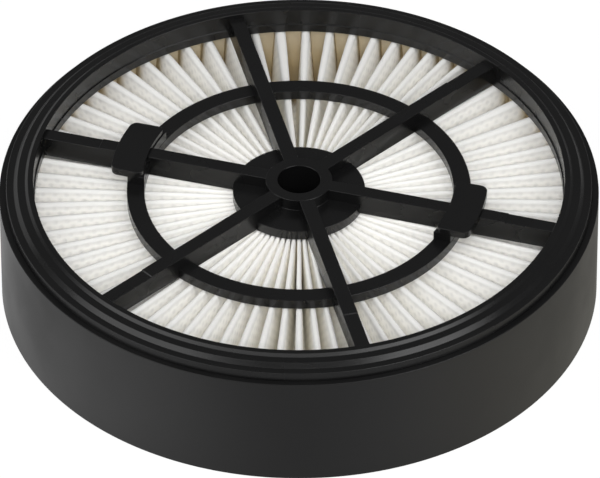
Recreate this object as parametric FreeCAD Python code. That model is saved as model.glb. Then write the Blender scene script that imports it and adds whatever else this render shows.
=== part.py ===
"""Round pleated vacuum filter: a moulded casing, a spoked grille frame and a glued fan of pleats.

Millimetres, +Z up. The origin is the centre of the casing's bottom edge, the two
bayonet lugs lie on the X axis, and a pleat ridge points along +X.
"""
import FreeCAD, Part
import math
import os

from FreeCAD import Vector

# Casing
CASING_RADIUS = 70.0
CASING_HEIGHT = 28.4
CASING_WALL = 2.4
FLOOR_LIP_WIDTH = 8.0
FLOOR_LIP_THICKNESS = 2.0
CASING_EDGE_CHAMFER = 0.3
CASING_FOOT_CHAMFER = 0.6

# Stepped rim of the grille frame, from its foot on the casing up to its lip
RIM_SETBACK = 1.2
FOOT_RISER_HEIGHT = 2.1
FOOT_RISER_RUN = 0.5
LOWER_TREAD_WIDTH = 1.6
MIDDLE_RISER_HEIGHT = 1.1
MIDDLE_RISER_RUN = 1.0
UPPER_TREAD_WIDTH = 1.65
LIP_RISER_HEIGHT = 0.6
LIP_RISER_RUN = 0.85
LIP_TOP_WIDTH = 1.2
RIM_WALL = 1.8
LEDGE_WIDTH = 0.3
LEDGE_DROP = 4.2
SPIGOT_LENGTH = 4.0
SPIGOT_CLEARANCE = 0.15

# Grille: hub, ring and spokes
GRILLE_DROP = 2.6
WEB_HEIGHT = 2.5
RIB_HEIGHT = 2.9
RIB_WIDTH = 3.5
RIB_STEP_RADIUS = 49.5
RIB_STEP_DROP = 0.35
SPOKE_FOOT_LEDGE = 0.45
SPOKE_COUNT = 6
RING_RADIUS = 38.15
RING_WIDTH = 4.1
HUB_RADIUS = 15.45
BOSS_RADIUS = 7.8
BORE_RADIUS = 5.0
BORE_DEPTH = 12.0
BORE_SLEEVE_WALL = 1.6
CORE_RADIUS = 12.5
CORE_WALL = 1.6

# Bayonet lugs on the ring
LUG_COUNT = 2
LUG_INSET = 0.3
LUG_OVERHANG = 3.9
LUG_LENGTH = 17.7
LUG_RISE = 0.7
LUG_THICKNESS = 1.9
LUG_CORNER_ROUND = 1.5

# Pleated medium and its glue
PLEAT_COUNT = 72
PLEAT_CLEARANCE = 0.1
SHEET_THICKNESS = 0.35
RIDGE_WIDTH_AT_RIM = 1.9
RIDGE_ROUND_SHARE = 0.4
OUTER_GLUE_WALL = 2.34
OUTER_GLUE_CLEARANCE = 0.4
INNER_GLUE_WALL = 1.0
INNER_GLUE_DROP = 2.7

# Radii and heights that follow from the sizes above
CASING_INNER_RADIUS = CASING_RADIUS - CASING_WALL
RIM_FOOT_RADIUS = CASING_RADIUS - RIM_SETBACK
LOWER_TREAD_OUTER = RIM_FOOT_RADIUS - FOOT_RISER_RUN
LOWER_TREAD_INNER = LOWER_TREAD_OUTER - LOWER_TREAD_WIDTH
UPPER_TREAD_OUTER = LOWER_TREAD_INNER - MIDDLE_RISER_RUN
UPPER_TREAD_INNER = UPPER_TREAD_OUTER - UPPER_TREAD_WIDTH
LIP_OUTER = UPPER_TREAD_INNER - LIP_RISER_RUN
LIP_INNER = LIP_OUTER - LIP_TOP_WIDTH
LOWER_TREAD_TOP = CASING_HEIGHT + FOOT_RISER_HEIGHT
UPPER_TREAD_TOP = LOWER_TREAD_TOP + MIDDLE_RISER_HEIGHT
LIP_TOP = UPPER_TREAD_TOP + LIP_RISER_HEIGHT
SPIGOT_OUTER = CASING_INNER_RADIUS - SPIGOT_CLEARANCE
SPIGOT_BOTTOM = CASING_HEIGHT - SPIGOT_LENGTH
GRILLE_BOTTOM = CASING_HEIGHT - GRILLE_DROP
WEB_TOP = GRILLE_BOTTOM + WEB_HEIGHT
RIB_TOP = WEB_TOP + RIB_HEIGHT
RING_INNER = RING_RADIUS - RING_WIDTH / 2
RING_OUTER = RING_RADIUS + RING_WIDTH / 2
LUG_TOP = RIB_TOP + LUG_RISE
LUG_INNER = RING_INNER + LUG_INSET
LUG_OUTER = RING_OUTER + LUG_OVERHANG
PLEAT_TOP = GRILLE_BOTTOM - PLEAT_CLEARANCE
PLEAT_BOTTOM = FLOOR_LIP_THICKNESS
HALF_PLEAT_ANGLE = math.pi / PLEAT_COUNT
OUTER_GLUE_INNER = CASING_INNER_RADIUS - OUTER_GLUE_WALL
PLEAT_OUTER_RADIUS = OUTER_GLUE_INNER * math.cos(HALF_PLEAT_ANGLE)
PLEAT_INNER_RADIUS = CORE_RADIUS + INNER_GLUE_WALL

AXIS = Vector(0, 0, 1)
ORIGIN = Vector(0, 0, 0)


def disc(radius, bottom, top):
    """A plain upright cylinder between two heights."""
    return Part.makeCylinder(radius, top - bottom, Vector(0, 0, bottom))


def tube(inner, outer, bottom, top):
    """An upright tube between two heights."""
    return disc(outer, bottom, top).cut(disc(inner, bottom, top))


def revolved(points):
    """A solid of revolution about Z from a closed outline of (radius, height) points."""
    outline = [Vector(radius, 0, height) for radius, height in points]
    face = Part.Face(Part.makePolygon(outline + outline[:1]))
    return face.revolve(ORIGIN, AXIS, 360)


def turned(shape, degrees):
    """A copy of a shape turned about Z."""
    copy = shape.copy()
    copy.rotate(ORIGIN, AXIS, degrees)
    return copy


def bowed_block(inner, outer, length, bottom, top):
    """A block with arc-shaped inner and outer walls and parallel ends, centred on +X."""
    slab = Part.makeBox(outer, length, top - bottom, Vector(0, -length / 2, bottom))
    return slab.common(tube(inner, outer, bottom, top))


def outer_casing():
    """Plain drum wall with an inward lip at its foot that carries the pleats."""
    lip_inner = CASING_RADIUS - FLOOR_LIP_WIDTH
    return revolved([
        (CASING_RADIUS - CASING_FOOT_CHAMFER, 0),
        (CASING_RADIUS, CASING_FOOT_CHAMFER),
        (CASING_RADIUS, CASING_HEIGHT - CASING_EDGE_CHAMFER),
        (CASING_RADIUS - CASING_EDGE_CHAMFER, CASING_HEIGHT),
        (CASING_INNER_RADIUS, CASING_HEIGHT),
        (CASING_INNER_RADIUS, FLOOR_LIP_THICKNESS),
        (lip_inner, FLOOR_LIP_THICKNESS),
        (lip_inner, 0),
    ])


def stepped_rim():
    """Rim of the grille frame: treads outside, a skirt inside and a spigot in the casing's mouth."""
    skirt_outer = LIP_INNER + RIM_WALL
    spigot_inner = SPIGOT_OUTER - RIM_WALL
    roof = LOWER_TREAD_TOP - RIM_WALL
    return revolved([
        (RIM_FOOT_RADIUS, CASING_HEIGHT),
        (LOWER_TREAD_OUTER, LOWER_TREAD_TOP),
        (LOWER_TREAD_INNER, LOWER_TREAD_TOP),
        (UPPER_TREAD_OUTER, UPPER_TREAD_TOP),
        (UPPER_TREAD_INNER, UPPER_TREAD_TOP),
        (LIP_OUTER, LIP_TOP),
        (LIP_INNER, LIP_TOP),
        (LIP_INNER, LIP_TOP - LEDGE_DROP),
        (LIP_INNER - LEDGE_WIDTH, LIP_TOP - LEDGE_DROP),
        (LIP_INNER - LEDGE_WIDTH, GRILLE_BOTTOM),
        (skirt_outer, GRILLE_BOTTOM),
        (skirt_outer, roof),
        (spigot_inner, roof),
        (spigot_inner, SPIGOT_BOTTOM),
        (SPIGOT_OUTER, SPIGOT_BOTTOM),
        (SPIGOT_OUTER, CASING_HEIGHT),
    ])


def bar(start, end, width, bottom, top):
    """A straight bar along +X between two radii."""
    return Part.makeBox(end - start, width, top - bottom, Vector(start, -width / 2, bottom))


def spoke():
    """One spoke along +X: a wider foot in the plane of the ring with a tall rib on it."""
    end = LIP_INNER + RIM_WALL / 2
    start = BORE_RADIUS
    foot = bar(start, end, RIB_WIDTH + 2 * SPOKE_FOOT_LEDGE, GRILLE_BOTTOM, WEB_TOP)
    high_rib = bar(start, RIB_STEP_RADIUS, RIB_WIDTH, WEB_TOP, RIB_TOP)
    low_rib = bar(RIB_STEP_RADIUS, end, RIB_WIDTH, WEB_TOP, RIB_TOP - RIB_STEP_DROP)
    return foot.multiFuse([high_rib, low_rib])


def lug():
    """A bayonet lug on the ring: a pedestal with a cap plate that overhangs outwards."""
    cap_bottom = LUG_TOP - LUG_THICKNESS
    cap = bowed_block(LUG_INNER, LUG_OUTER, LUG_LENGTH, cap_bottom, LUG_TOP)
    corners = [edge for edge in cap.Edges if edge.BoundBox.ZLength > LUG_THICKNESS / 2]
    widest_round = (LUG_OUTER - LUG_INNER) / 3
    cap = cap.makeFillet(min(LUG_CORNER_ROUND, widest_round), corners)
    pedestal = bowed_block(RING_INNER, RING_OUTER, LUG_LENGTH, WEB_TOP, cap_bottom)
    return cap.fuse(pedestal)


def hub():
    """Hub disc with its boss, the core that the pleats end on and the sleeve round the bore."""
    sleeve_bottom = RIB_TOP - BORE_DEPTH - BORE_SLEEVE_WALL
    plate = disc(HUB_RADIUS, GRILLE_BOTTOM, WEB_TOP)
    boss = disc(BOSS_RADIUS, WEB_TOP, RIB_TOP)
    core = tube(CORE_RADIUS - CORE_WALL, CORE_RADIUS, PLEAT_BOTTOM, GRILLE_BOTTOM)
    sleeve = disc(BORE_RADIUS + BORE_SLEEVE_WALL, sleeve_bottom, GRILLE_BOTTOM)
    return plate.multiFuse([boss, core, sleeve])


def grille_frame():
    """The whole grille moulding: rim, ring, spokes, hub and lugs in one piece."""
    pieces = [tube(RING_INNER, RING_OUTER, GRILLE_BOTTOM, WEB_TOP), hub()]
    pieces += [turned(spoke(), index * 360 / SPOKE_COUNT) for index in range(SPOKE_COUNT)]
    pieces += [turned(lug(), index * 360 / LUG_COUNT) for index in range(LUG_COUNT)]
    frame = stepped_rim().multiFuse(pieces)
    frame = frame.cut(disc(BORE_RADIUS, RIB_TOP - BORE_DEPTH, LIP_TOP))
    return frame.removeSplitter()


def ridge_half_width(radius):
    """Half the outside width of a fold: packed tight at the core, open at the rim."""
    packed = (PLEAT_INNER_RADIUS * math.tan(HALF_PLEAT_ANGLE) + SHEET_THICKNESS) / 2
    opened = RIDGE_WIDTH_AT_RIM / 2
    share = (radius - PLEAT_INNER_RADIUS) / (PLEAT_OUTER_RADIUS - PLEAT_INNER_RADIUS)
    return packed + (opened - packed) * share


def pleat_section(radius):
    """Upper and lower outlines of one pleat across +X, from valley middle to valley middle."""
    reach = radius * math.tan(HALF_PLEAT_ANGLE)
    outside = ridge_half_width(radius)
    inside = outside - SHEET_THICKNESS
    rounding = RIDGE_ROUND_SHARE * outside
    upper = [
        (reach, PLEAT_BOTTOM + SHEET_THICKNESS),
        (reach - inside, PLEAT_BOTTOM + SHEET_THICKNESS),
        (outside, PLEAT_TOP - rounding),
        (outside - rounding, PLEAT_TOP),
    ]
    lower = [
        (reach, PLEAT_BOTTOM),
        (reach - outside + rounding, PLEAT_BOTTOM),
        (reach - outside, PLEAT_BOTTOM + rounding),
        (inside, PLEAT_TOP - SHEET_THICKNESS),
    ]
    return [[Vector(radius, -across, height) for across, height in half]
            + [Vector(radius, across, height) for across, height in reversed(half)]
            for half in (upper, lower)]


def flat_face(*corners):
    """A flat face with straight edges through these corners."""
    return Part.Face(Part.makePolygon([*corners, corners[0]]))


def panel_faces(core_a, core_b, rim_a, rim_b):
    """The panel between two fold lines: one flat face, or two with a crease where the panel twists."""
    if core_a.z == core_b.z:
        return [flat_face(core_a, core_b, rim_b, rim_a)]
    if core_a.z > core_b.z:
        return [flat_face(core_a, core_b, rim_b), flat_face(core_a, rim_b, rim_a)]
    return [flat_face(core_a, core_b, rim_a), flat_face(core_b, rim_b, rim_a)]


def one_pleat():
    """Faces of one pleat: panels from its core end to its rim end, with flat ends."""
    core_end = pleat_section(PLEAT_INNER_RADIUS)
    rim_end = pleat_section(PLEAT_OUTER_RADIUS)
    faces = [flat_face(*upper, *lower[::-1]) for upper, lower in (core_end, rim_end)]
    for core_line, rim_line in zip(core_end, rim_end):
        for index in range(len(core_line) - 1):
            following = index + 1
            faces += panel_faces(core_line[index], core_line[following],
                                 rim_line[index], rim_line[following])
    return faces


def pleated_filter():
    """The folded sheet: one pleat repeated round the axis and sewn into one closed solid."""
    faces = []
    for index in range(PLEAT_COUNT):
        faces += [turned(face, index * 360 / PLEAT_COUNT) for face in one_pleat()]
    shell = Part.Shell(faces)
    shell.sewShape()
    sheet = Part.Solid(shell)
    if sheet.Volume < 0:
        sheet.reverse()
    return sheet


def outer_glue_ring():
    """Hot-melt wall between the pleats' outer ends and the casing."""
    top = SPIGOT_BOTTOM - OUTER_GLUE_CLEARANCE
    return tube(OUTER_GLUE_INNER, CASING_INNER_RADIUS, FLOOR_LIP_THICKNESS, top)


def inner_glue_ring():
    """Hot-melt wall between the hub core and the pleats' inner ends."""
    return tube(CORE_RADIUS, PLEAT_INNER_RADIUS, PLEAT_BOTTOM, PLEAT_TOP - INNER_GLUE_DROP)


def main():
    """Builds every piece and writes one STEP file for each."""
    os.makedirs("parts", exist_ok=True)
    pieces = {
        "outer_casing": outer_casing(),
        "grille_frame": grille_frame(),
        "pleated_filter": pleated_filter(),
        "outer_glue_ring": outer_glue_ring(),
        "inner_glue_ring": inner_glue_ring(),
    }
    for name, shape in pieces.items():
        shape.exportStep(f"parts/{name}.step")
        print(name, "solids", len(shape.Solids), "faces", len(shape.Faces),
              "valid", shape.isValid(), "volume", round(shape.Volume, 1))


main()
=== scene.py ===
"""Looks of a round pleated vacuum filter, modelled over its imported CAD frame.

Metres, +Z up, in the frame of the CAD part: the origin is the centre of the casing's
bottom edge and the two bayonet lugs lie on the X axis.
"""
import logging
import math
import random
from dataclasses import dataclass
from enum import Enum

import bmesh
import bpy
from mathutils import Matrix, Vector, noise


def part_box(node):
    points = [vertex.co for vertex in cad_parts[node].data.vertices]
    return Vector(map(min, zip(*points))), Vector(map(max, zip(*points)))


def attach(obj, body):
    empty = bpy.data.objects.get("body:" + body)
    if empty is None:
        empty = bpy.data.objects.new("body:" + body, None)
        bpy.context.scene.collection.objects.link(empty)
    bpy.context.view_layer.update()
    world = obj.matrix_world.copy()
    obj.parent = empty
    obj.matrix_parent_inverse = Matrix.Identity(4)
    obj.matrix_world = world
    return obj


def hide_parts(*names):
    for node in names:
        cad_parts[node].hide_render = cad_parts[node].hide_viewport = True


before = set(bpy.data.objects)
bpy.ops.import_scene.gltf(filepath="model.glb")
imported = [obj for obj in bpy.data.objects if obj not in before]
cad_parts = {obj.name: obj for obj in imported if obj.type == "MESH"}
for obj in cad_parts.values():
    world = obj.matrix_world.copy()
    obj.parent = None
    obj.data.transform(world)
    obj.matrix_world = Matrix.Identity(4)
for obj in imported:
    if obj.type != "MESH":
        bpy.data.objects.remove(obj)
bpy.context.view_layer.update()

LOG = logging.getLogger("filter")

MM = 0.001
FULL_TURN = 2 * math.pi
AXIS = Vector((0, 0, 1))
ORIGIN = Vector((0, 0, 0))
RING_STEPS = 216
SHARP_ANGLE = math.radians(12)
CORNER_ANGLE = math.radians(20)
CORNER_SEGMENTS = 3
WELD = 0.0005 * MM
# Room between the fold lines' ends and the outer glue, for the thickness of the sheet.
GLUE_GAP = 0.06 * MM

# Places of the colour sockets on a Mix node, where every data type repeats their names.
MIX_SHARE, MIX_FIRST, MIX_SECOND, MIX_RESULT = 0, 6, 7, 2

Outline = list[tuple[float, float]]
Colour = tuple[float, float, float, float]


class Slot(Enum):
    """Material slots that the record names."""

    CASING = "casing_plastic"
    GRILLE = "grille_plastic"
    MEDIUM = "filter_medium"
    GLUE = "hot_melt_glue"


class Shader:
    """Builds one node material, node by node."""

    def __init__(self, name: str) -> None:
        """Starts a material that holds only its surface shader.

        Args:
            name: the material's name.
        """
        self.material = bpy.data.materials.new(name)
        self.material.use_nodes = True
        self.tree = self.material.node_tree
        self.surface = self.tree.nodes["Principled BSDF"]
        self.place = self.node("ShaderNodeTexCoord").outputs["Object"]

    def node(self, kind: str, **settings: object) -> bpy.types.Node:
        """Adds a node.

        Args:
            kind: the node's type name.
            settings: properties to set on the node.

        Returns:
            The new node.
        """
        made = self.tree.nodes.new(kind)
        for key, value in settings.items():
            setattr(made, key, value)
        return made

    def feed(self, target: bpy.types.NodeSocket, value: object) -> None:
        """Links an input to a socket, or sets it to a plain value.

        Args:
            target: the input.
            value: the socket to link, or the plain value.
        """
        if isinstance(value, bpy.types.NodeSocket):
            self.tree.links.new(value, target)
        else:
            target.default_value = value

    def maths(self, operation: str, *values: object) -> bpy.types.NodeSocket:
        """Adds a math node.

        Args:
            operation: the node's operation.
            values: sockets or numbers, in the order of the node's inputs.

        Returns:
            The result's socket.
        """
        made = self.node("ShaderNodeMath", operation=operation)
        for target, value in zip(made.inputs, values):
            self.feed(target, value)
        return made.outputs["Value"]

    def ramp(self, value: object, start: float, end: float,
             low: float = 0.0, high: float = 1.0) -> bpy.types.NodeSocket:
        """Maps a value smoothly from one range to another.

        Args:
            value: the socket to read.
            start: where the ramp begins.
            end: where the ramp ends.
            low: the result at the start.
            high: the result at the end.

        Returns:
            The result's socket.
        """
        made = self.node("ShaderNodeMapRange", interpolation_type="SMOOTHSTEP")
        for target, number in zip(made.inputs, (value, start, end, low, high)):
            self.feed(target, number)
        return made.outputs["Result"]

    def noise(self, size: float, detail: float = 2.0) -> bpy.types.NodeSocket:
        """Adds a noise pattern.

        Args:
            size: the size of its blobs in metres.
            detail: how many finer layers it has.

        Returns:
            The pattern's socket.
        """
        made = self.node("ShaderNodeTexNoise")
        self.feed(made.inputs["Vector"], self.place)
        self.feed(made.inputs["Scale"], 1 / size)
        self.feed(made.inputs["Detail"], detail)
        return made.outputs["Fac"]

    def mix(self, share: object, first: object, second: object) -> bpy.types.NodeSocket:
        """Mixes two colours.

        Args:
            share: the second colour's share.
            first: a colour or its socket.
            second: a colour or its socket.

        Returns:
            The mixed colour's socket.
        """
        made = self.node("ShaderNodeMix", data_type="RGBA")
        self.feed(made.inputs[MIX_SHARE], share)
        self.feed(made.inputs[MIX_FIRST], first)
        self.feed(made.inputs[MIX_SECOND], second)
        return made.outputs[MIX_RESULT]

    def bump(self, height: bpy.types.NodeSocket, depth: float) -> None:
        """Adds a relief to the surface, over any relief that it has already.

        Args:
            height: the relief's pattern.
            depth: its depth in metres.
        """
        made = self.node("ShaderNodeBump")
        self.feed(made.inputs["Distance"], depth)
        self.feed(made.inputs["Height"], height)
        earlier = self.surface.inputs["Normal"].links
        if earlier:
            self.feed(made.inputs["Normal"], earlier[0].from_socket)
        self.feed(self.surface.inputs["Normal"], made.outputs["Normal"])

    def radius(self) -> bpy.types.NodeSocket:
        """Works out the distance from the filter's axis.

        Returns:
            A socket with the distance in metres.
        """
        apart = self.node("ShaderNodeSeparateXYZ")
        self.feed(apart.inputs[0], self.place)
        square = self.maths("ADD", self.maths("MULTIPLY", apart.outputs["X"], apart.outputs["X"]),
                            self.maths("MULTIPLY", apart.outputs["Y"], apart.outputs["Y"]))
        return self.maths("SQRT", square)

    def height(self) -> bpy.types.NodeSocket:
        """Reads the height above the filter's foot.

        Returns:
            A socket with the height in metres.
        """
        apart = self.node("ShaderNodeSeparateXYZ")
        self.feed(apart.inputs[0], self.place)
        return apart.outputs["Z"]


@dataclass(frozen=True)
class MouldedPlastic:
    """Black injection-moulded plastic with a fine satin grain."""

    name: str
    colour: Colour = (0.0040, 0.0040, 0.0041, 1)
    scuffed: Colour = (0.0062, 0.0062, 0.0063, 1)
    roughness: float = 0.24
    roughness_spread: float = 0.06
    specular: float = 0.48
    grain_size: float = 0.25 * MM
    grain_depth: float = 0.004 * MM
    grain_detail: float = 2
    flow_size: float = 14 * MM
    flow_detail: float = 3
    flow_low: float = 0.3
    flow_high: float = 0.7

    def material(self) -> bpy.types.Material:
        """Makes the material.

        Returns:
            The material.
        """
        shader = Shader(self.name)
        flow = shader.noise(self.flow_size, self.flow_detail)
        grain = shader.noise(self.grain_size, self.grain_detail)
        surface = shader.surface.inputs
        shader.feed(surface["Base Color"], shader.mix(flow, self.colour, self.scuffed))
        shader.feed(surface["Roughness"], shader.ramp(
            flow, self.flow_low, self.flow_high, self.roughness, self.roughness + self.roughness_spread))
        shader.feed(surface["Specular IOR Level"], self.specular)
        shader.bump(grain, self.grain_depth)
        return shader.material


@dataclass(frozen=True)
class NonWovenMedium:
    """White non-woven filter sheet with rows of embossed points, painted shade on the ridge tops and glue
    soaked in at the rim.
    """

    name: str
    colour: Colour = (0.982, 0.974, 0.948, 1)
    shaded: Colour = (0.966, 0.956, 0.926, 1)
    # Painted shade colour for the ridge tops.
    ridge_shade: Colour = (0.82, 0.815, 0.795, 1)
    pressed: Colour = (0.76, 0.76, 0.75, 1)
    soaked: Colour = (0.63, 0.54, 0.37, 1)
    row_pitch: float = 1.4 * MM
    point_pitch: float = 2.8 * MM
    point_share: float = 0.5
    point_start: float = 0.3 * MM
    point_full: float = 1.0 * MM
    point_core: float = 0.08
    point_edge: float = 0.44
    ridge_shade_start: float = 0.5 * MM
    ridge_shade_end: float = 2.2 * MM
    ridge_shade_core: float = 14.0 * MM
    ridge_shade_rim: float = 48.0 * MM
    point_depth: float = 0.06 * MM
    fibre_size: float = 0.35 * MM
    fibre_depth: float = 0.015 * MM
    fibre_detail: float = 4
    fibre_share: float = 0.45
    cloud_size: float = 9 * MM
    cloud_share: float = 0.35
    shade_start: float = 0.25
    shade_full: float = 0.6
    soak_start: float = 61.5 * MM
    soak_end: float = 65.2 * MM
    soak_top: float = 25.4 * MM
    soak_full: float = 22.0 * MM
    roughness: float = 0.92
    specular: float = 0.2
    fold_layer: str = "fold"

    def points(self, shader: Shader, fold: bpy.types.NodeSocket) -> bpy.types.NodeSocket:
        """Rows of embossed points, each row set off by half a pitch from the last.

        Args:
            shader: the material being built.
            fold: the developed length from the ridge.

        Returns:
            A socket that is 1 in a point and 0 between the points and on the folds.
        """
        across = shader.maths("MULTIPLY", fold, 1 / (2 * self.row_pitch))
        along = shader.maths("MULTIPLY", shader.radius(), 1 / self.point_pitch)
        lattice = shader.node("ShaderNodeCombineXYZ")
        shader.feed(lattice.inputs["X"], shader.maths("ADD", across, along))
        shader.feed(lattice.inputs["Y"], shader.maths("SUBTRACT", across, along))
        cells = shader.node("ShaderNodeTexVoronoi", voronoi_dimensions="2D")
        shader.feed(cells.inputs["Vector"], lattice.outputs["Vector"])
        shader.feed(cells.inputs["Scale"], 1.0)
        shader.feed(cells.inputs["Randomness"], 0.0)
        flat = shader.ramp(fold, self.point_start, self.point_full)
        dots = shader.ramp(cells.outputs["Distance"], self.point_core, self.point_edge, 1.0, 0.0)
        return shader.maths("MULTIPLY", flat, dots)

    def material(self) -> bpy.types.Material:
        """Makes the material.

        Returns:
            The material.
        """
        shader = Shader(self.name)
        fibres = shader.noise(self.fibre_size, self.fibre_detail)
        clouds = shader.noise(self.cloud_size)
        fold = shader.node("ShaderNodeAttribute", attribute_name=self.fold_layer).outputs["Fac"]
        points = self.points(shader, fold)
        shade = shader.maths("ADD", shader.maths("MULTIPLY", fibres, self.fibre_share),
                             shader.maths("MULTIPLY", clouds, self.cloud_share))
        paper = shader.mix(shader.ramp(shade, self.shade_start, self.shade_full), self.colour, self.shaded)
        paper = shader.mix(shader.maths("MULTIPLY", points, self.point_share), paper, self.pressed)
        # Painted shade: the ridge tops are darker than the flanks, more so towards the rim.
        ridge_shade_mask = shader.maths("MULTIPLY", shader.ramp(fold, self.ridge_shade_start, self.ridge_shade_end, 1.0, 0.0),
                              shader.ramp(shader.radius(), self.ridge_shade_core, self.ridge_shade_rim))
        paper = shader.mix(ridge_shade_mask, paper, self.ridge_shade)
        soak = shader.maths("MULTIPLY",
                            shader.ramp(shader.radius(), self.soak_start, self.soak_end),
                            shader.ramp(shader.height(), self.soak_full, self.soak_top, 1.0, 0.0))
        surface = shader.surface.inputs
        shader.feed(surface["Base Color"], shader.mix(soak, paper, self.soaked))
        shader.feed(surface["Roughness"], self.roughness)
        shader.feed(surface["Specular IOR Level"], self.specular)
        shader.bump(fibres, self.fibre_depth)
        shader.bump(shader.maths("SUBTRACT", 1.0, points), self.point_depth)
        return shader.material


@dataclass(frozen=True)
class HotMelt:
    """Tan hot-melt glue, slightly waxy and uneven, with painted shade that darkens it lower down."""

    name: str
    colour: Colour = (0.69, 0.61, 0.46, 1)
    # Painted shade colour for the glue's lower part, also reached in its darker lumps.
    shade_and_lump_tone: Colour = (0.52, 0.42, 0.25, 1)
    lump_size: float = 3 * MM
    lump_depth: float = 0.3 * MM
    lump_detail: float = 3
    lump_share: float = 0.3
    lump_low: float = 0.3
    lump_high: float = 0.7
    shade_full_height: float = 12 * MM
    shade_end_height: float = 24 * MM
    shade_share: float = 0.8
    roughness_low: float = 0.4
    roughness_high: float = 0.6
    specular: float = 0.4

    def material(self) -> bpy.types.Material:
        """Makes the material.

        Returns:
            The material.
        """
        shader = Shader(self.name)
        lumps = shader.noise(self.lump_size, self.lump_detail)
        # Painted shade: the glue darkens lower down, with random lumps mixed in.
        depth = shader.ramp(shader.height(), self.shade_full_height, self.shade_end_height, 1.0, 0.0)
        uneven = shader.maths("ADD", shader.maths("MULTIPLY", depth, self.shade_share),
                              shader.maths("MULTIPLY", lumps, self.lump_share))
        surface = shader.surface.inputs
        shader.feed(surface["Base Color"], shader.mix(uneven, self.colour, self.shade_and_lump_tone))
        shader.feed(surface["Roughness"], shader.ramp(
            lumps, self.lump_low, self.lump_high, self.roughness_low, self.roughness_high))
        shader.feed(surface["Specular IOR Level"], self.specular)
        shader.bump(lumps, self.lump_depth)
        return shader.material


def spun(outline: Outline, corner: float, closed: bool = True) -> bmesh.types.BMesh:
    """Turns an outline round the axis and rounds the corners.

    Args:
        outline: (radius, height) points.
        corner: how far the rounding reaches from each corner, in metres.
        closed: whether the outline returns to its start; an open one ends on the axis.

    Returns:
        A bmesh with a closed turned body.
    """
    bm = bmesh.new()
    verts = [bm.verts.new((radius, 0, height)) for radius, height in outline]
    pairs = list(zip(verts, verts[1:])) + ([(verts[-1], verts[0])] if closed else [])
    edges = [bm.edges.new(pair) for pair in pairs]
    bmesh.ops.spin(bm, geom=verts + edges, cent=ORIGIN, axis=AXIS, angle=FULL_TURN,
                   steps=RING_STEPS, use_merge=True, use_duplicate=False)
    bmesh.ops.remove_doubles(bm, verts=bm.verts, dist=WELD)
    bmesh.ops.recalc_face_normals(bm, faces=bm.faces)
    rounded(bm, sharp_edges(bm), corner)
    return bm


def sharp_edges(bm: bmesh.types.BMesh) -> list[bmesh.types.BMEdge]:
    """The edges of a body at which its surface turns a corner."""
    return [edge for edge in bm.edges
            if len(edge.link_faces) == 2 and edge.calc_face_angle() > CORNER_ANGLE]


def rounded(bm: bmesh.types.BMesh, edges: list[bmesh.types.BMEdge], reach: float,
            segments: int = CORNER_SEGMENTS) -> None:
    """Rounds edges of a body.

    Args:
        bm: the body.
        edges: the edges to round.
        reach: how far the rounding reaches from each edge, in metres.
        segments: facets of the rounding.
    """
    bmesh.ops.bevel(bm, geom=edges, offset=reach, offset_type="OFFSET", affect="EDGES",
                    segments=segments, profile=0.5, material=-1, clamp_overlap=True)


def turned(bm: bmesh.types.BMesh, angle: float) -> bmesh.types.BMesh:
    """Copies a body, turned about the axis.

    Args:
        bm: the body.
        angle: how far the copy turns.

    Returns:
        The copy.
    """
    copy = bm.copy()
    bmesh.ops.rotate(copy, cent=ORIGIN, matrix=Matrix.Rotation(angle, 3, AXIS), verts=copy.verts)
    return copy


def linked(bm: bmesh.types.BMesh, name: str) -> bpy.types.Object:
    """Makes an object of a bmesh and links it to the scene.

    Args:
        bm: the body, which is freed.
        name: the object's name.

    Returns:
        The object, at the origin.
    """
    mesh = bpy.data.meshes.new(name)
    bm.to_mesh(mesh)
    bm.free()
    piece = bpy.data.objects.new(name, mesh)
    bpy.context.scene.collection.objects.link(piece)
    return piece


def dressed(piece: bpy.types.Object, material: bpy.types.Material, node: str,
            sharp_angle: float = SHARP_ANGLE) -> bpy.types.Object:
    """Gives a piece its finish and its place in the frame.

    Args:
        piece: the piece.
        material: its finish.
        node: the CAD node that it stands for.
        sharp_angle: edges that turn by more than this stay sharp.

    Returns:
        The piece.
    """
    piece.data.materials.clear()
    piece.data.materials.append(material)
    piece.data.shade_smooth()
    piece.data.set_sharp_from_angle(angle=sharp_angle)
    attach(piece, "root")
    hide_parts(node)
    return piece


@dataclass
class Casing:
    """The plain drum: a wall with a lip inside its foot."""

    radius: float
    height: float
    finish: MouldedPlastic
    wall: float = 2.4 * MM
    lip_width: float = 8 * MM
    lip_thickness: float = 2 * MM
    corner: float = 0.2 * MM

    def build(self) -> bpy.types.Object:
        """Models and dresses the drum.

        Returns:
            The finished piece.
        """
        inner = self.radius - self.wall
        lip_inner = self.radius - self.lip_width
        body = spun([
            (self.radius, 0),
            (self.radius, self.height),
            (inner, self.height),
            (inner, self.lip_thickness),
            (lip_inner, self.lip_thickness),
            (lip_inner, 0),
        ], self.corner)
        return dressed(linked(body, "casing"), self.finish.material(), "outer_casing")


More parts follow.
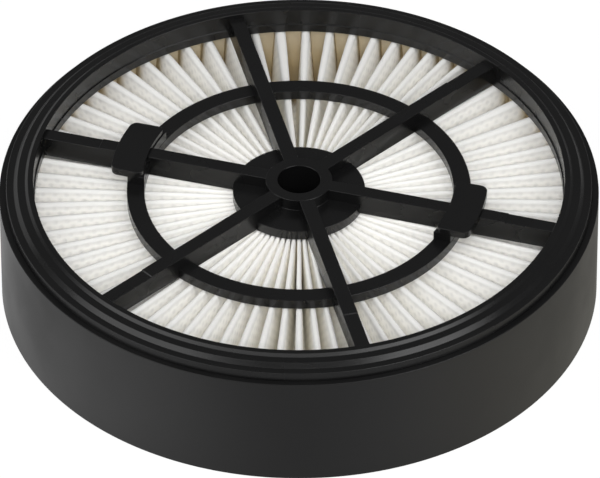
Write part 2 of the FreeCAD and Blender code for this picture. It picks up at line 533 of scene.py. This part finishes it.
@dataclass
class GrilleFrame:
    """The grille moulding: stepped rim, six spokes, ring, hub and two bayonet lugs in one piece."""

    casing_radius: float
    top: float
    casing_height: float
    core_bottom: float
    finish: MouldedPlastic
    rim_setback: float = 1.4 * MM
    rim_width: float = 8 * MM
    rim_wall: float = 1.8 * MM
    first_tread_rise: float = 2.0 * MM
    first_tread_outer: float = 0.3 * MM
    first_tread_inner: float = 2.0 * MM
    second_tread_rise: float = 3.1 * MM
    second_tread_outer: float = 2.9 * MM
    second_tread_inner: float = 4.65 * MM
    brim_outer: float = 5.35 * MM
    skirt_drop: float = 4.2 * MM
    skirt_step: float = 0.3 * MM
    spigot_setback: float = 2.55 * MM
    spigot_depth: float = 4 * MM
    roof_rise: float = 0.3 * MM
    corner: float = 0.13 * MM
    grille_drop: float = 2.6 * MM
    web_height: float = 2.5 * MM
    rib_height: float = 2.9 * MM
    rib_width: float = 3.5 * MM
    rib_draft: float = 0.08 * MM
    rib_step_radius: float = 49.2 * MM
    rib_step_shift: float = 1.0 * MM
    rib_step_side: float = math.radians(16)
    rib_step_drop: float = 0.2 * MM
    rib_step_run: float = 0.18 * MM
    spoke_count: int = 6
    ring_radius: float = 38.15 * MM
    ring_width: float = 4.1 * MM
    hub_radius: float = 15.45 * MM
    boss_radius: float = 7.8 * MM
    bore_radius: float = 5 * MM
    bore_depth: float = 12 * MM
    sleeve_wall: float = 1.6 * MM
    core_radius: float = 12.5 * MM
    core_wall: float = 1.6 * MM
    lug_inset: float = 0.3 * MM
    lug_overhang: float = 3.9 * MM
    lug_length: float = 17.7 * MM
    lug_rise: float = 0.7 * MM
    lug_thickness: float = 1.9 * MM
    lug_corner: float = 1.5 * MM
    lug_corner_segments: int = 6
    lug_count: int = 2
    lug_cuts: int = 24
    lap: float = 0.06 * MM
    sink: float = 0.6 * MM

    def __post_init__(self) -> None:
        """Works out the heights and radii that several parts share."""
        self.bottom: float = self.casing_height - self.grille_drop
        self.web_top: float = self.bottom + self.web_height
        self.rib_top: float = self.web_top + self.rib_height
        self.ring_inner: float = self.ring_radius - self.ring_width / 2
        self.ring_outer: float = self.ring_radius + self.ring_width / 2
        self.lug_top: float = self.rib_top + self.lug_rise

    def rim(self) -> bmesh.types.BMesh:
        """Models the rim, with treads outside, a skirt inside and a spigot in the casing's mouth.

        Returns:
            The rim.
        """
        base, top, bottom = self.casing_height, self.top, self.bottom
        foot = self.casing_radius - self.rim_setback
        lip = self.casing_radius - self.rim_width
        wall = lip + self.rim_wall
        spigot = self.casing_radius - self.spigot_setback
        sleeve = spigot - self.rim_wall
        first, second = base + self.first_tread_rise, base + self.second_tread_rise
        skirt, roof, end = top - self.skirt_drop, base + self.roof_rise, base - self.spigot_depth
        return spun([
            (foot, base),
            (foot - self.first_tread_outer, first),
            (foot - self.first_tread_inner, first),
            (foot - self.second_tread_outer, second),
            (foot - self.second_tread_inner, second),
            (foot - self.brim_outer, top),
            (lip, top),
            (lip, skirt),
            (lip - self.skirt_step, skirt),
            (lip - self.skirt_step, bottom),
            (wall, bottom),
            (wall, roof),
            (sleeve, roof),
            (sleeve, end),
            (spigot, end),
            (spigot, base),
        ], self.corner)

    def ring(self) -> bmesh.types.BMesh:
        """Models the ring half-way out that ties the spokes together.

        Returns:
            The ring.
        """
        return spun([
            (self.ring_inner, self.bottom),
            (self.ring_outer, self.bottom),
            (self.ring_outer, self.web_top),
            (self.ring_inner, self.web_top),
        ], self.corner)

    def hub(self) -> bmesh.types.BMesh:
        """Models the hub disc with its boss and blind bore, the core under it and the bore's sleeve.

        Returns:
            The hub.
        """
        bore_floor = self.rib_top - self.bore_depth
        sleeve = self.bore_radius + self.sleeve_wall
        core_inner = self.core_radius - self.core_wall
        return spun([
            (0, bore_floor),
            (self.bore_radius, bore_floor),
            (self.bore_radius, self.rib_top),
            (self.boss_radius, self.rib_top),
            (self.boss_radius, self.web_top),
            (self.hub_radius, self.web_top),
            (self.hub_radius, self.bottom),
            (self.core_radius, self.bottom),
            (self.core_radius, self.core_bottom),
            (core_inner, self.core_bottom),
            (core_inner, self.bottom),
            (sleeve, self.bottom),
            (sleeve, bore_floor - self.sleeve_wall),
            (0, bore_floor - self.sleeve_wall),
        ], self.corner, closed=False)

    def spoke(self, angle: float) -> bmesh.types.BMesh:
        """Models one spoke, a tall bar whose top steps down near the rim.

        Args:
            angle: the spoke's azimuth.

        Returns:
            The spoke, turned to its place.
        """
        start = (self.bore_radius + self.boss_radius) / 2
        end = self.casing_radius - self.rim_width + self.rim_wall / 2
        half_top, half_foot = self.rib_width / 2, self.rib_width / 2 + self.rib_draft
        low, high = self.bottom + self.lap, self.rib_top - self.lap
        bm = bmesh.new()
        section = [(-half_foot, low), (half_foot, low), (half_top, high), (-half_top, high)]
        face = bm.faces.new([bm.verts.new((start, across, height)) for across, height in section])
        step = self.rib_step_radius + self.rib_step_shift * math.cos(angle - self.rib_step_side)
        for reach, drop in ((step, 0), (step + self.rib_step_run, self.rib_step_drop), (end, 0)):
            grown = bmesh.ops.extrude_face_region(bm, geom=[face, *face.edges])["geom"]
            face = next(item for item in grown if isinstance(item, bmesh.types.BMFace))
            top = max(vert.co.z for vert in face.verts)
            for vert in face.verts:
                vert.co.z -= drop if vert.co.z == top else 0
                vert.co.x = reach
        bmesh.ops.recalc_face_normals(bm, faces=bm.faces)
        along = [edge for edge in sharp_edges(bm) if edge.verts[0].co.x != edge.verts[1].co.x]
        rounded(bm, along, self.corner)
        bmesh.ops.rotate(bm, cent=ORIGIN, matrix=Matrix.Rotation(angle, 3, AXIS), verts=bm.verts)
        return bm

    def bowed_block(self, inner: float, outer: float, bottom: float, top: float,
                    corner: float) -> bmesh.types.BMesh:
        """Models a block with arc-shaped walls and parallel ends, as long as a lug and centred on +X.

        Args:
            inner: its inner radius.
            outer: its outer radius.
            bottom: its lowest height.
            top: its highest height.
            corner: the rounding of its four upright edges.

        Returns:
            The block.
        """
        bm = bmesh.new()
        bmesh.ops.create_cube(bm, size=1)
        bmesh.ops.scale(bm, vec=(outer - inner, self.lug_length, top - bottom), verts=bm.verts)
        bmesh.ops.translate(bm, vec=((inner + outer) / 2, 0, (bottom + top) / 2), verts=bm.verts)
        upright = [edge for edge in bm.edges if edge.verts[0].co.z != edge.verts[1].co.z]
        if corner:
            rounded(bm, upright, corner, segments=self.lug_corner_segments)
        level = [edge for edge in sharp_edges(bm)
                 if abs(edge.verts[0].co.z - edge.verts[1].co.z) < WELD]
        rounded(bm, level, self.corner)
        for cut in range(1, self.lug_cuts):
            place = (0, self.lug_length * (cut / self.lug_cuts - 0.5), 0)
            bmesh.ops.bisect_plane(bm, geom=bm.verts[:] + bm.edges[:] + bm.faces[:],
                                   dist=WELD, plane_co=place, plane_no=(0, 1, 0))
        for vert in bm.verts:
            vert.co.x = math.sqrt(vert.co.x ** 2 - vert.co.y ** 2)
        return bm

    def lug(self) -> list[bmesh.types.BMesh]:
        """Models one bayonet lug on +X: a pedestal on the ring and a cap that overhangs outwards.

        Returns:
            The cap and the pedestal.
        """
        cap_bottom = self.lug_top - self.lug_thickness
        cap = self.bowed_block(self.ring_inner + self.lug_inset, self.ring_outer + self.lug_overhang,
                               cap_bottom, self.lug_top, self.lug_corner)
        pedestal = self.bowed_block(self.ring_inner + self.lap, self.ring_outer - self.lap,
                                    self.web_top - self.sink, cap_bottom + self.sink, 0)
        return [cap, pedestal]

    def build(self) -> bpy.types.Object:
        """Models the parts, unites them and dresses the moulding.

        Returns:
            The finished piece.
        """
        parts = [self.ring(), self.hub()]
        parts += [self.spoke(index * FULL_TURN / self.spoke_count) for index in range(self.spoke_count)]
        parts += [turned(block, index * FULL_TURN / self.lug_count)
                  for index in range(self.lug_count) for block in self.lug()]
        piece = united(linked(self.rim(), "grille"), parts)
        return dressed(piece, self.finish.material(), "grille_frame")


def united(piece: bpy.types.Object, parts: list[bmesh.types.BMesh]) -> bpy.types.Object:
    """Joins closed bodies into one skin.

    Args:
        piece: the first body, which takes in the others.
        parts: the other bodies, which are freed.

    Returns:
        The piece with its new mesh.
    """
    helpers = [linked(part, "helper") for part in parts]
    for helper in helpers:
        union = piece.modifiers.new("union", "BOOLEAN")
        union.operation, union.solver, union.object = "UNION", "MANIFOLD", helper
    solid = bpy.data.meshes.new_from_object(piece.evaluated_get(bpy.context.evaluated_depsgraph_get()))
    piece.modifiers.clear()
    piece.data = solid
    for helper in helpers:
        bpy.data.objects.remove(helper)
    bm = bmesh.new()
    bm.from_mesh(solid)
    bmesh.ops.remove_doubles(bm, verts=bm.verts, dist=WELD)
    bmesh.ops.dissolve_degenerate(bm, edges=bm.edges, dist=WELD)
    loose = [edge for edge in bm.edges if len(edge.link_faces) != 2]
    LOG.info("%s: %d open edges", piece.name, len(loose))
    bm.to_mesh(solid)
    bm.free()
    return piece


@dataclass(frozen=True)
class Drift:
    """A place in the fan where the folds crowd or gape: all angles in degrees."""

    centre: float
    reach: float
    shift: float

    def at(self, azimuth: float) -> float:
        """How far a fold at an azimuth has drifted."""
        apart = ((azimuth - self.centre + 180) % 360 - 180) / self.reach
        return self.shift * apart * math.exp(-apart * apart / 2)


FAN_DRIFTS = (
    Drift(52.7, 10.1, 3.5),
    Drift(-26.0, 16.5, 4.8),
    Drift(-68.8, 67.9, -3.1),
    Drift(77.2, 20.9, -2.3),
)


@dataclass
class PleatPack:
    """The white sheet folded into a closed fan between the hub's core and the casing."""

    inner_radius: float
    outer_radius: float
    bottom: float
    top: float
    finish: NonWovenMedium
    count: int = 72
    thickness: float = 0.35 * MM
    ridge_half_rim: float = 0.76 * MM
    ridge_half_core: float = 0.29 * MM
    ridge_steps: int = 4
    flank_steps: int = 5
    valley_steps: int = 2
    radial_cuts: int = 21
    wave: float = 0.22 * MM
    wave_length: float = 16 * MM
    wave_apart: float = 3.7
    wave_ease: float = 1.2
    dip: float = 0.15 * MM
    turn: float = 1.24
    sharp_angle: float = math.radians(60)
    drifts: tuple[Drift, ...] = FAN_DRIFTS
    seed: int = 7

    def half_profile(self, radius: float) -> list[tuple[float, float, float]]:
        """Half a pleat's section at a radius, from its ridge to its valley.

        Args:
            radius: the distance from the axis.

        Returns:
            (across, height, developed length) of each point.
        """
        share = (radius - self.inner_radius) / (self.outer_radius - self.inner_radius)
        fold = self.ridge_half_core + (self.ridge_half_rim - self.ridge_half_core) * share
        reach = radius * math.tan(math.pi / self.count)
        high, low = self.top - self.thickness / 2, self.bottom + self.thickness / 2
        points = []
        for step in range(self.ridge_steps + 1):
            turn = math.pi / 2 * step / self.ridge_steps
            points.append((fold * math.sin(turn), high - fold * (1 - math.cos(turn))))
        for step in range(1, self.flank_steps):
            part = step / self.flank_steps
            points.append((fold + (reach - 2 * fold) * part,
                           high - fold + (low - high + 2 * fold) * part))
        for step in range(self.valley_steps + 1):
            turn = math.pi / 2 * (1 - step / self.valley_steps)
            points.append((reach - fold * math.sin(turn), low + fold * (1 - math.cos(turn))))
        length, placed = 0.0, []
        for index, (across, height) in enumerate(points):
            if index:
                length += math.dist(points[index - 1], (across, height))
            placed.append((across, height, length))
        return placed

    def folded_loop(self, verts: list[bmesh.types.BMVert], radius: float,
                    layer: bmesh.types.BMLayerItem) -> None:
        """Folds a loop of vertices into the sheet's section at a radius.

        Args:
            verts: the loop's vertices in order round the axis.
            radius: the distance from the axis.
            layer: the layer that takes the developed length.
        """
        half = self.half_profile(radius)
        per_pleat = 2 * (len(half) - 1)
        for index, vert in enumerate(verts):
            pleat, place = divmod(index, per_pleat)
            mirrored = place > per_pleat // 2
            across, height, length = half[per_pleat - place if mirrored else place]
            across = -across if mirrored else across
            angle = FULL_TURN * (pleat + mirrored) / self.count
            vert.co = Matrix.Rotation(angle, 3, AXIS) @ Vector((radius, across, height))
            vert[layer] = length

    def build(self) -> bpy.types.Object:
        """Folds the sheet, gives it its small unevenness and its thickness, and dresses it.

        Returns:
            The finished piece.
        """
        loop = 2 * (len(self.half_profile(self.outer_radius)) - 1) * self.count
        bm = bmesh.new()
        layer = bm.verts.layers.float.new(self.finish.fold_layer)
        rim = bmesh.ops.create_circle(bm, segments=loop, radius=self.outer_radius)["verts"]
        rim.sort(key=lambda vert: math.atan2(vert.co.y, vert.co.x) % FULL_TURN)
        slot_of = {vert: index for index, vert in enumerate(rim)}
        grown = bmesh.ops.extrude_edge_only(bm, edges=bm.edges)["geom"]
        core = [item for item in grown if isinstance(item, bmesh.types.BMVert)]
        partner = {vert: edge.other_vert(vert) for vert in core for edge in vert.link_edges
                   if edge.other_vert(vert) in slot_of}
        core.sort(key=lambda vert: slot_of[partner[vert]])
        self.folded_loop(rim, self.outer_radius, layer)
        self.folded_loop(core, self.inner_radius, layer)
        radial = [edge for edge in bm.edges if (edge.verts[0] in slot_of) != (edge.verts[1] in slot_of)]
        bmesh.ops.subdivide_edges(bm, edges=radial, cuts=self.radial_cuts, use_grid_fill=True)
        self.unsettle(bm)
        bmesh.ops.recalc_face_normals(bm, faces=bm.faces)
        piece = linked(bm, "pleats")
        skin = piece.modifiers.new("sheet", "SOLIDIFY")
        skin.thickness, skin.offset, skin.use_even_offset = self.thickness, 0, True
        dressed(piece, self.finish.material(), "pleated_filter", self.sharp_angle)
        half_fold = self.half_profile((self.outer_radius + self.inner_radius) / 2)[-1][2]
        return piece

    def unsettle(self, bm: bmesh.types.BMesh) -> None:
        """Moves the folds a little out of true, as a hand-glued fan has them.

        Each fold wavers on its own between its glued ends, and stands a little lower at the rim.

        Args:
            bm: the sheet.
        """
        rng = random.Random(self.seed)
        dips = [rng.random() * self.dip for _ in range(self.count)]
        for vert in bm.verts:
            radius = math.hypot(vert.co.x, vert.co.y)
            azimuth = math.atan2(vert.co.y, vert.co.x) % FULL_TURN
            pleat = round(azimuth / FULL_TURN * self.count) % self.count
            rise = (vert.co.z - self.bottom) / (self.top - self.bottom)
            spread = (radius - self.inner_radius) / (self.outer_radius - self.inner_radius)
            place = Vector((radius / self.wave_length, pleat * self.wave_apart,
                            vert.co.z / self.wave_length))
            swell = math.sin(math.pi * min(1, spread * self.wave_ease))
            shift = self.wave * noise.noise(place) * rise * swell
            start = math.degrees(azimuth) + self.turn
            drifted = math.radians(start + sum(drift.at(start) for drift in self.drifts)) + shift / radius
            low = dips[pleat] * rise * spread
            vert.co = (radius * math.cos(drifted), radius * math.sin(drifted), vert.co.z - low)


@dataclass
class GlueRing:
    """A hot-melt wall that closes the ends of the pleats."""

    name: str
    node: str
    inner: float
    outer: float
    bottom: float
    top: float
    finish: HotMelt
    corner: float = 0.25 * MM

    def build(self) -> bpy.types.Object:
        """Models and dresses the ring.

        Returns:
            The finished piece.
        """
        body = spun([(self.inner, self.bottom), (self.outer, self.bottom),
                     (self.outer, self.top), (self.inner, self.top)], self.corner)
        return dressed(linked(body, self.name), self.finish.material(), self.node)


@dataclass(frozen=True)
class Lamp:
    """A soft rectangular lamp that faces the filter, with its place as seen from the filter.

    Angles are in degrees, the azimuth counted from the camera's; lengths in metres, power in
    watts. A lamp that isn't mirrored doesn't show in glossy surfaces.
    """

    name: str
    azimuth: float
    elevation: float
    distance: float
    width: float
    height: float
    power: float
    mirrored: bool = True


# The front lamp lies close to the camera's line, so that it lights the folds' valleys.
LAMPS = (
    Lamp("front_fill", 0, 40, 1.8, 0.3, 0.6, 12.6, mirrored=False),
    Lamp("top_fill", 0, 78, 1.8, 1.2, 1.2, 5, mirrored=False),
    Lamp("top_panel", 0, 63, 1.6, 1.2, 0.5, 2.4),
    Lamp("left_panel", -67, 40, 1.8, 1.5, 1.1, 9.4),
    Lamp("right_panel", 54, 43, 1.8, 1.0, 1.1, 9.8),
    Lamp("back_panel", -140, 9, 2.0, 1.8, 0.6, 2),
)


@dataclass(frozen=True)
class Pool:
    """A pool of light on the floor that the casing mirrors, with its azimuth counted as a lamp's."""

    azimuth: float
    level: float


POOLS = (Pool(-46, 0.42), Pool(44, 0.20), Pool(-112, 0.45))


@dataclass
class Studio:
    """Pale floor, soft lamps and the camera at the photograph's angle."""

    azimuth: float = math.radians(16.3)
    elevation: float = 40.12
    roll: float = math.radians(-0.18)
    lens_mm: float = 540.0
    distance: float = 2.1114
    aim_across: float = 0.2 * MM
    aim_height: float = 13.0 * MM
    clip_end: float = 50.0
    floor_size: float = 8.0
    floor_cells: int = 8
    floor_gap: float = 0.05 * MM
    floor_colour: Colour = (0.86, 0.86, 0.86, 1)
    floor_shade: Colour = (0.84, 0.84, 0.84, 1)
    floor_seen: Colour = (0.10, 0.10, 0.10, 1)
    floor_patch: float = 0.4
    floor_glow: float = 0.93
    floor_sheen: float = 0.36
    pool_radius: float = 0.09
    pool_core: float = 0.01
    pool_edge: float = 0.07
    warm: Colour = (1.0, 0.965, 0.85, 1)
    warm_azimuth: float = 70
    warm_core: float = 0.03
    warm_edge: float = 0.09
    white: Colour = (1, 1, 1, 1)
    world_level: float = 0.14
    light_bounces: int = 32

    def heading(self, azimuth: float, elevation: float) -> Vector:
        """A direction from the filter, with the azimuth counted from the camera's, both in degrees."""
        turn, rise = math.radians(azimuth) + self.azimuth, math.radians(elevation)
        return Vector((math.sin(turn) * math.cos(rise), -math.cos(turn) * math.cos(rise), math.sin(rise)))

    def near(self, shader: Shader, azimuth: float, core: float, edge: float) -> bpy.types.NodeSocket:
        """Marks a round patch of the floor beside the filter.

        Args:
            shader: the floor's material.
            azimuth: where the patch lies, in degrees from the camera's azimuth.
            core: the radius within which it is full.
            edge: the radius at which it ends.

        Returns:
            A socket that is 1 in the patch and 0 outside it.
        """
        apart = shader.node("ShaderNodeVectorMath", operation="DISTANCE")
        shader.feed(apart.inputs[0], shader.place)
        shader.feed(apart.inputs[1], self.heading(azimuth, 0) * self.pool_radius)
        return shader.ramp(apart.outputs["Value"], core, edge, 1.0, 0.0)

    def tint(self, shader: Shader, mirrored: bpy.types.NodeSocket) -> bpy.types.NodeSocket:
        """White, but warm close to the filter on its right as the casing mirrors it.

        Args:
            shader: the floor's material.
            mirrored: 1 where a glossy surface shows the floor.

        Returns:
            A colour socket.
        """
        near = self.near(shader, self.warm_azimuth, self.warm_core, self.warm_edge)
        return shader.mix(shader.maths("MULTIPLY", near, mirrored), self.white, self.warm)

    def floor(self) -> None:
        """Lays a wide pale floor just under the filter.

        The camera and glossy surfaces see a dim floor with a glow of its own, which gives the
        white background. To all other light it is a plain pale floor.
        """
        bm = bmesh.new()
        bmesh.ops.create_grid(bm, x_segments=self.floor_cells, y_segments=self.floor_cells,
                              size=self.floor_size / 2)
        bmesh.ops.translate(bm, verts=bm.verts, vec=-AXIS * self.floor_gap)
        floor = linked(bm, "floor")
        shader = Shader("floor")
        path = shader.node("ShaderNodeLightPath").outputs
        sheen = self.floor_sheen
        for pool in POOLS:
            patch = self.near(shader, pool.azimuth, self.pool_core, self.pool_edge)
            sheen = shader.maths("ADD", shader.maths("MULTIPLY", patch, pool.level), sheen)
        mirrored = shader.maths("MAXIMUM", path["Is Glossy Ray"], path["Is Transmission Ray"])
        glow = shader.maths("ADD", shader.maths("MULTIPLY", path["Is Camera Ray"], self.floor_glow),
                            shader.maths("MULTIPLY", mirrored, sheen))
        seen = shader.maths("MAXIMUM", path["Is Camera Ray"], mirrored)
        surface = shader.surface.inputs
        shade = shader.mix(shader.noise(self.floor_patch), self.floor_colour, self.floor_shade)
        shader.feed(surface["Base Color"], shader.mix(seen, shade, self.floor_seen))
        shader.feed(surface["Roughness"], 1.0)
        shader.feed(surface["Specular IOR Level"], 0.0)
        shader.feed(surface["Emission Color"], self.tint(shader, mirrored))
        shader.feed(surface["Emission Strength"], glow)
        floor.data.materials.append(shader.material)

    def hang(self, lamp: Lamp) -> None:
        """Hangs a lamp in its place.

        Args:
            lamp: the lamp's place, size and power.
        """
        back = self.heading(lamp.azimuth, lamp.elevation)
        data = bpy.data.lights.new(lamp.name, "AREA")
        data.shape = "RECTANGLE"
        data.size, data.size_y = lamp.width, lamp.height
        data.energy = lamp.power
        hung = bpy.data.objects.new(lamp.name, data)
        hung.location = back * lamp.distance
        hung.visible_glossy = lamp.mirrored
        hung.rotation_mode = "QUATERNION"
        hung.rotation_quaternion = (-back).to_track_quat("-Z", "Y")
        bpy.context.scene.collection.objects.link(hung)

    def world(self) -> None:
        """A dim even grey all round."""
        world = bpy.data.worlds.new("studio")
        world.use_nodes = True
        inputs = world.node_tree.nodes["Background"].inputs
        inputs["Color"].default_value = self.white
        inputs["Strength"].default_value = self.world_level
        bpy.context.scene.world = world

    def camera(self) -> None:
        """A long lens at the photograph's viewing angle."""
        back = self.heading(0, self.elevation)
        aim = self.heading(90, 0) * self.aim_across + AXIS * self.aim_height
        data = bpy.data.cameras.new("camera")
        data.lens = self.lens_mm
        data.clip_end = self.clip_end
        camera = bpy.data.objects.new("camera", data)
        camera.location = aim + back * self.distance
        camera.rotation_mode = "QUATERNION"
        facing = (-back).to_track_quat("-Z", "Y").to_matrix() @ Matrix.Rotation(self.roll, 3, "Z")
        camera.rotation_quaternion = facing.to_quaternion()
        bpy.context.scene.collection.objects.link(camera)
        bpy.context.scene.camera = camera

    def build(self) -> None:
        """Sets the whole studio up."""
        self.floor()
        for lamp in LAMPS:
            self.hang(lamp)
        self.world()
        self.camera()
        bpy.context.scene.view_settings.view_transform = "Standard"
        bpy.context.scene.cycles.max_bounces = self.light_bounces
        bpy.context.scene.cycles.diffuse_bounces = self.light_bounces


CASING_FINISH = MouldedPlastic("casing_plastic", roughness=0.36, specular=0.44)
GRILLE_FINISH = MouldedPlastic("grille_plastic")
SHEET_FINISH = NonWovenMedium("filter_medium")


def main() -> None:
    """Builds every piece in order and notes the sizes."""
    logging.basicConfig(level=logging.INFO, format="%(message)s")
    casing_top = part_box("outer_casing")[1]
    grille_low, grille_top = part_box("grille_frame")
    pleat_low, pleat_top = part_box("pleated_filter")
    outer_low, outer_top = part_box("outer_glue_ring")
    inner_low, inner_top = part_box("inner_glue_ring")
    grille = GrilleFrame(casing_top.x, grille_top.z, casing_top.z, grille_low.z, GRILLE_FINISH)
    makers = (
        Casing(casing_top.x, casing_top.z, CASING_FINISH),
        grille,
        PleatPack(inner_top.x, pleat_top.x, pleat_low.z, pleat_top.z, SHEET_FINISH),
        GlueRing("outer_glue", "outer_glue_ring", pleat_top.x + GLUE_GAP, outer_top.x,
                 outer_low.z, outer_top.z, HotMelt("hot_melt_outer")),
        GlueRing("inner_glue", "inner_glue_ring", grille.core_radius, inner_top.x,
                 inner_low.z, inner_top.z, HotMelt("hot_melt_inner")),
    )
    for maker in makers:
        piece = maker.build()
        LOG.info("%s: %d faces", piece.name, len(piece.data.polygons))
    Studio().build()


if __name__ == "__main__":
    main()
